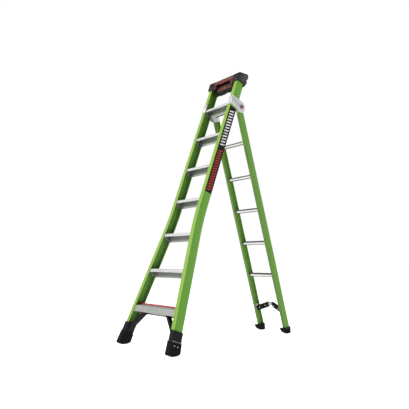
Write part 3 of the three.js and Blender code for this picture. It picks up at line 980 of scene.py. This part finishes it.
def pad_pins():
    bm = bmesh.new()
    for end in (-1, 1):
        places = [end * (PAD["half"] - 4), end * (PAD["half"] + 7.5), end * (PAD["half"] + 9)]
        profile = [(PAD["pin"], places[0]), (PAD["pin"], places[1]), (PAD["pin"] - 1.2, places[2])]
        lathe(profile, "x", PAD_AXIS, segments=24, bm=bm)
    return bm


def face_plate():
    """Hard plate: a band raised along its lower edge under a plain sunk part."""
    back = PAD_FRONT
    low, high = PAD["station"] - 30, PAD["station"] + 22
    plate = soften(prism(rectangle((-98, 98), (low, high), 12, 6), "y", back - 3.4, back), 0.9, 2)
    ridge = soften(prism(rectangle((-94, 94), (low + 3, low + 29), 9, 6), "y", back - 6, back - 3), 0.9, 2)
    return carve(plate, ridge, operation="UNION")


def face_button():
    """Domed button in a ring on the band."""
    front = PAD_FRONT - 6
    ring = [(13.5, 2.6), (13.5, 0.6), (12.4, -0.4), (10.8, -0.4)]
    dome = [(10.4, 0.5), (9.2, 0.1), (6, -0.8), (2.5, -1.2)]
    return lathe([(r, front + t) for r, t in ring + dome], "y", (-4, PAD["station"] - 13), segments=40)


piece("wall_pad_ribbed", wall_pad(), PAD_RUBBER, "wall_pad", "wall_pad")
piece("wall_pad_pins", pad_pins(), STEEL, "wall_pad")
piece("pad_face_plate", face_plate(), FACE_RED, "wall_pad", "pad_face")
piece("pad_face_button", face_button(), BUTTON, "wall_pad")


# Hinge

def bracket_outline(margin=0):
    """Side view of the hinge bracket, drawn in from its edge by a margin."""
    reach = BRACKET["reach"] - margin
    low, high = BRACKET["low"] + margin, BRACKET["high"] - margin
    front = -BRACKET["wrap"] + margin * 1.6
    nose = arc(PIVOT.yz, reach, math.radians(-99), math.radians(90), 24)
    return [(front, low), (PIVOT.y - 36, low - 10), *nose, (62, high), (front, high)]


def pin_bore():
    return rod(BORE - FIT, (180, 210), "x", PIVOT.yz)


def hinge_bracket():
    """Plate on the outside of the rail that wraps round its front edge."""
    plate = prism(bracket_outline(), "x", FRONT_WEB + FIT, BRACKET_FACE)
    tall = (BRACKET["low"], BRACKET["high"])
    front_leaf = block((FRONT_EDGE, BRACKET_FACE), (-BRACKET["wrap"], -FIT), tall)
    bm = soften(carve(plate, front_leaf, operation="UNION"), 1.1, 2)
    return carve(bm, pin_bore())


def bracket_cover():
    """Raised cover on the bracket, with the slot of the lock slider sunk into it."""
    bm = soften(prism(bracket_outline(6), "x", BRACKET_FACE - 0.5, BRACKET_FACE + 2.6), 1.4, 3)
    return carve(bm, pin_bore(), slider_bar(2.2, BRACKET_FACE + 0.6, BRACKET_FACE + 5))


def slider_bar(half, low, high):
    """Bar along the line from the front of the bracket to the pivot."""
    bm = prism(rectangle((6, PIVOT.y - 17), (-half, half), half * 0.95), "x", low, high)
    tilt = Matrix.Rotation(math.radians(-9), 4, "X")
    bmesh.ops.transform(bm, matrix=Matrix.Translation((0, 0, 2159)) @ tilt, verts=bm.verts)
    return bm


def bracket_rivets():
    bm = rivets("x", ((16, 2124), (16, 2178), (58, 2116), (58, 2180)), BRACKET_FACE + 2.4, 4.6, 1.8)
    for x in (160, 178):
        rivet(bm, "y", (x, 2150), -4.6, 4.6, 1.8, -1)
    return bm


def lock_knob():
    """Fluted knob on its stem."""
    def flutes(radius, angle):
        return radius - (0.9 * (0.5 + 0.5 * math.cos(14 * angle)) if radius > 14 else 0)

    profile = [
        (6.1, 160), (6.1, 197), (14.6, 197), (16, 198), (16, 206), (14.8, 208.2), (12.6, 209.4),
        (11.6, 208.6), (10.4, 208.4), (7, 210.2), (3, 211.3),
    ]
    return lathe(profile, "x", PIVOT.yz, segments=84, ripple=flutes)


def hinge_boss():
    """Stepped spacer between the rear rail and the bracket."""
    inner, outer = REAR_WEB + FIT, FRONT_WEB - FIT
    profile = [
        (BORE, inner), (23, inner), (24, inner + 1), (24, inner + 5), (21.5, inner + 6.5), (21.5, outer - 5),
        (23, outer - 4), (23, outer - 1), (22, outer), (BORE, outer),
    ]
    return lathe(profile, "x", (0, 0), segments=48, closed=True)


def d_outline(grow, flutes=0):
    """D section of a rung: flat on top, with flutes, and round underneath."""
    half, top, low = 15 + grow, 17 + grow, -2
    middle = (REAR["front"] + REAR["back"]) / 2
    corner = 3 + grow
    points = arc((0, low), half, math.pi, math.tau, 24)
    points += arc((half - corner, top - corner), corner, 0, math.pi / 2, 4)
    for k in range(flutes):
        y = 8.4 - k * 16.8 / max(flutes - 1, 1)
        points += [(y + 1.5, top), (y + 0.8, top - 0.9), (y - 0.8, top - 0.9), (y - 1.5, top)]
    points += arc((corner - half, top - corner), corner, math.pi / 2, math.pi, 4)
    return [(middle + y, z) for y, z in points]


def hinge_cheek():
    """Plate that closes the hollow of the rear rail round the hinge and wraps its front edge."""
    thick, low = 2.4, -56
    inner = REAR_EDGE - FIT
    front, back = REAR["front"] - FIT - thick, 36
    top = arc((0, 0), back, 0, math.radians(120), 12)
    outline = rounded([(front, low), (back, low, 6), *top, (front, 24)])
    plate = prism(outline, "x", inner - thick, inner)
    outer, high = REAR_WEB - 2, -10
    edge = inner - thick
    leaf = [(edge, low), (inner + 3, low), (outer, -26), (outer, high), (edge, high)]
    leaf = prism(leaf, "y", front, front + thick)
    shell = soften(carve(plate, leaf, operation="UNION"), 0.7, 2)
    return carve(shell, prism(d_outline(0.5), "x", inner - 10, inner + 10))


for row in (
    ("hinge_bracket_shell", hinge_bracket(), BRACKET_METAL, "hinge_bracket"),
    ("hinge_cover", bracket_cover(), BRACKET_METAL),
    ("hinge_slider", slider_bar(1.9, BRACKET_FACE + 0.3, BRACKET_FACE + 1.5), BLACK),
    ("hinge_rivets", bracket_rivets(), STEEL),
):
    pair("front_section", *row)
pair("lock_knob_*", "lock_knob_fluted", lock_knob(), KNOB_RED, "lock_knob")
CHEEK_HEADS = [(y, -42) for y in (-12, 7, 26)]
for row in (
    ("hinge_boss_stepped", hinge_boss(), BLACK, "hinge_boss"),
    ("hinge_cheek", hinge_cheek(), BRACKET_METAL),
    ("hinge_cheek_rivets", rivets("x", CHEEK_HEADS, REAR_EDGE - 2.6, 3.6, 1.4, -1), STEEL),
):
    pair("rear_section", *row)
for side in ("left", "right"):
    shown_as_it_is = frame["nodes"][f"pivot_pin_{side}"].data.materials
    shown_as_it_is.clear()
    shown_as_it_is.append(STEEL.material)


# Rear section

def rear_rail():
    """C section whose top end is rounded about the hinge axis."""
    section = channel(REAR, REAR["front"], REAR["back"], 4, 2.5)
    x = (REAR_EDGE - 1, REAR_WEB + 1)
    rail = prism(section, "z", REAR["bottom"], 10)
    end = prism(section, "z", 10, REAR["end"])
    end = carve(end, rod(REAR["end"], x, "x", (0, 0), 96), operation="INTERSECT")
    whole = carve(rail, end, operation="UNION")
    return carve(whole, rod(BORE, x, "x", (0, 0)))


def rung(station, half):
    """Hollow rung."""
    bm = prism(d_outline(0, flutes=5), "x", -half, half)
    bore = prism(d_outline(-2), "x", -half - 1, half + 1)
    return move(carve(bm, bore), z=station)


def rung_collars():
    """Swaged collars where the rungs meet the rail."""
    bm = bmesh.new()
    shape = [(0.1, 0), (3.4, 0), (3.6, 0.8), (3.2, 2.6), (2, 3.4), (0.1, 3.6)]
    for number in range(1, RUNGS + 1):
        rings = [
            [bm.verts.new((RUNG_HALF - step, y, z - PITCH * number)) for y, z in d_outline(grow)]
            for grow, step in shape
        ]
        for i, ring in enumerate(rings):
            skin(bm, rings[i - 1], ring)
    return bm


def vee_at(x):
    """How far a point at x has moved towards the apex of the V: 0 at the rails, 1 in the middle."""
    soft = 0.06
    t = math.hypot(x / V_BAR["half"], soft)
    return (math.hypot(1, soft) - t) / (math.hypot(1, soft) - soft)


def veed(bm):
    for vertex in bm.verts:
        t = vee_at(vertex.co.x)
        vertex.co.y += V_BAR["back"] * t
        vertex.co.z += V_BAR["rise"] * t + V_BAR["station"]
    return bm


def v_bar():
    half = V_BAR["half"]
    stops = [-half + 2 * half * k / 96 for k in range(97)]
    return veed(prism(rectangle((-7, 7), (-16, 16), 6), "x", *stops))


def v_grip():
    """Moulded grip with soft ribs round it."""
    start, end, ribs = 24, 142, 9
    outers = [(rectangle((-12, 12), (-24, 24), 9), start)]
    count = ribs * 6
    for k in range(count + 1):
        swell = 0.5 - 0.5 * math.cos(math.tau * ribs * k / count)
        w, h = 12.4 + 1.6 * swell, 24.4 + 1.6 * swell
        x = start + 2 + (end - start - 4) * k / count
        outers.append((rectangle((-w, w), (-h, h), 9 + swell), x))
    outers.append((rectangle((-12, 12), (-24, 24), 9), end))
    bore = rectangle((-7.3, 7.3), (-16.3, 16.3), 6)
    inners = [(bore, start + (end - start) * k / 12) for k in range(13)]
    return veed(tube(outers, inners, "x"))


def grip_bolts():
    bm = bmesh.new()
    for x in (52, 112):
        t = vee_at(x)
        place = (x, V_BAR["rise"] * t + V_BAR["station"])
        screw(bm, "y", place, V_BAR["back"] * t - 14, 3, 2.2, -1)
    return bm


def v_mount():
    """Bracket that ties the V bar to the rear rail."""
    low, high = V_BAR["station"] - 14, V_BAR["station"] + 40
    x = (V_BAR["half"] + FIT, RUNG_HALF)
    outline = rounded([(-12, low, 4), (22, low, 4), (22, high, 9), (-12, high, 9)])
    bm = prism(outline, "x", *x)
    panel(bm, (-1, 0, 0), 5, 2)
    return soften(bm, 1.2, 2)


def mount_bolts():
    bm = bmesh.new()
    for depth in (-2, 12):
        screw(bm, "x", (depth, V_BAR["station"] + 26), V_BAR["half"] + FIT + 2, 3.4, 2.6, -1)
    return bm


def rear_foot():
    """Curled rubber foot."""
    def ground(y, height):
        return in_plane(REAR_PLANE, HEEL_Y + y, height)

    toe = ground(-114, 57)
    points = [toe] + curve(toe, ground(-99, 10), ground(-52, 3))
    points += [ground(-6, 3), ground(0, 7), ground(-5, 62), ground(-91, 52)]
    x = (REAR_EDGE - 5, REAR_WEB + 5)
    bm = prism(points, "x", *x)
    panel(bm, (1, 0, 0), 8, 1.2)
    soften(bm, 1.8, 3)
    return carve(bm, rail_pocket(REAR, (REAR["front"], REAR["back"]), (REAR["bottom"] - FIT, -1900)))


HEEL_HEADS = [(y, REAR["bottom"] + 18) for y in (-4, 18)]
RUNG_HEADS = [(y, -PITCH * number) for number in range(1, RUNGS + 1) for y in (-2, 16)]
pair("rear_section", "rear_rail_shell", rear_rail(), GREEN_REAR, "rear_rail")
pair("rear_section", "rear_rail_rivets", rivets("x", RUNG_HEADS, REAR_WEB - 0.3, 3.6, 1.2), GREEN_REAR)
for number in range(1, RUNGS + 1):
    station = -PITCH * (RUNGS + 1 - number)
    piece(f"rung_fluted_{number}", rung(station, RUNG_HALF), RUNG_METAL, "rear_section", f"rung_{number}")
piece("hinge_tube_fluted", rung(0, 150), RUNG_METAL, "rear_section", "hinge_tube")
pair("rear_section", "rung_collars", rung_collars(), COLLAR_METAL)
piece("v_bar_bent", v_bar(), BAR_METAL, "rear_section", "v_bar")
for row in (
    ("v_grip_ribbed", v_grip(), RUBBER, "v_grip"),
    ("v_grip_bolts", grip_bolts(), STEEL),
    ("v_mount_plate", v_mount(), BRACKET_METAL, "v_mount"),
    ("v_mount_bolts", mount_bolts(), STEEL),
    ("rear_foot_moulded", rear_foot(), RUBBER, "rear_foot"),
    ("rear_sole_bars", sole_bars(REAR_PLANE, HEEL_Y - 52, HEEL_Y - 6, (REAR_EDGE - 2, REAR_WEB + 2)), RUBBER),
    ("rear_foot_rivets", rivets("x", HEEL_HEADS, REAR_WEB + 3.6, 4.6, 2), BLACK_STEEL),
):
    pair("rear_section", *row)


# Stage

def floor():
    """Pale floor, large enough to reach the white surroundings."""
    look = Look("floor_pale", "rubber", (0.93, 0.93, 0.92), 0.8, specular=0.1)
    look.shader["Emission Color"].default_value = (1, 1, 1, 1)
    look.shader["Emission Strength"].default_value = 0.80
    bm = bmesh.new()
    bmesh.ops.create_grid(bm, x_segments=8, y_segments=8, size=30)
    mesh = bpy.data.meshes.new("floor")
    bm.to_mesh(mesh)
    bm.free()
    mesh.materials.append(look.material)
    linked("floor", mesh)


def surroundings(seen, lighting):
    """White surroundings, brighter to the camera than as a light source."""
    world = bpy.data.worlds.new("surroundings")
    bpy.context.scene.world = world
    world.use_nodes = True
    tree = world.node_tree
    background = tree.nodes["Background"]
    background.inputs["Color"].default_value = (1, 1, 1, 1)
    path = tree.nodes.new("ShaderNodeLightPath")
    strength = tree.nodes.new("ShaderNodeMapRange")
    strength.inputs["To Min"].default_value = lighting
    strength.inputs["To Max"].default_value = seen
    tree.links.new(path.outputs["Is Camera Ray"], strength.inputs["Value"])
    tree.links.new(strength.outputs[0], background.inputs["Strength"])


def softbox(name, place, aim, size, power):
    light = bpy.data.lights.new(name, "AREA")
    light.shape = "SQUARE"
    light.size = size
    light.energy = power
    obj = linked(name, light)
    obj.location = place
    obj.rotation_euler = (Vector(aim) - Vector(place)).to_track_quat("-Z", "Y").to_euler()


def camera():
    data = bpy.data.cameras.new("camera")
    data.sensor_width = 36
    data.lens = 41.96
    obj = linked("camera", data)
    obj.location = (3.0577, -2.7247, 0.6598)
    turn, tilt = -0.8686, 0.116
    forward = Vector((math.sin(turn) * math.cos(tilt), math.cos(turn) * math.cos(tilt), math.sin(tilt)))
    obj.rotation_euler = forward.to_track_quat("-Z", "Y").to_euler()
    bpy.context.scene.camera = obj


floor()
surroundings(seen=1.0, lighting=0.34)
softbox("key", (-1.6, -5.2, 4.2), (0, 0, 1.1), 2.4, 400)
softbox("fill", (5.0, 0.5, 2.6), (0, 0, 1.1), 3.0, 60)
softbox("back", (0.8, 5.0, 3.2), (0, 0, 1.2), 3.0, 110)
camera()
bpy.context.scene.view_settings.view_transform = "Standard"
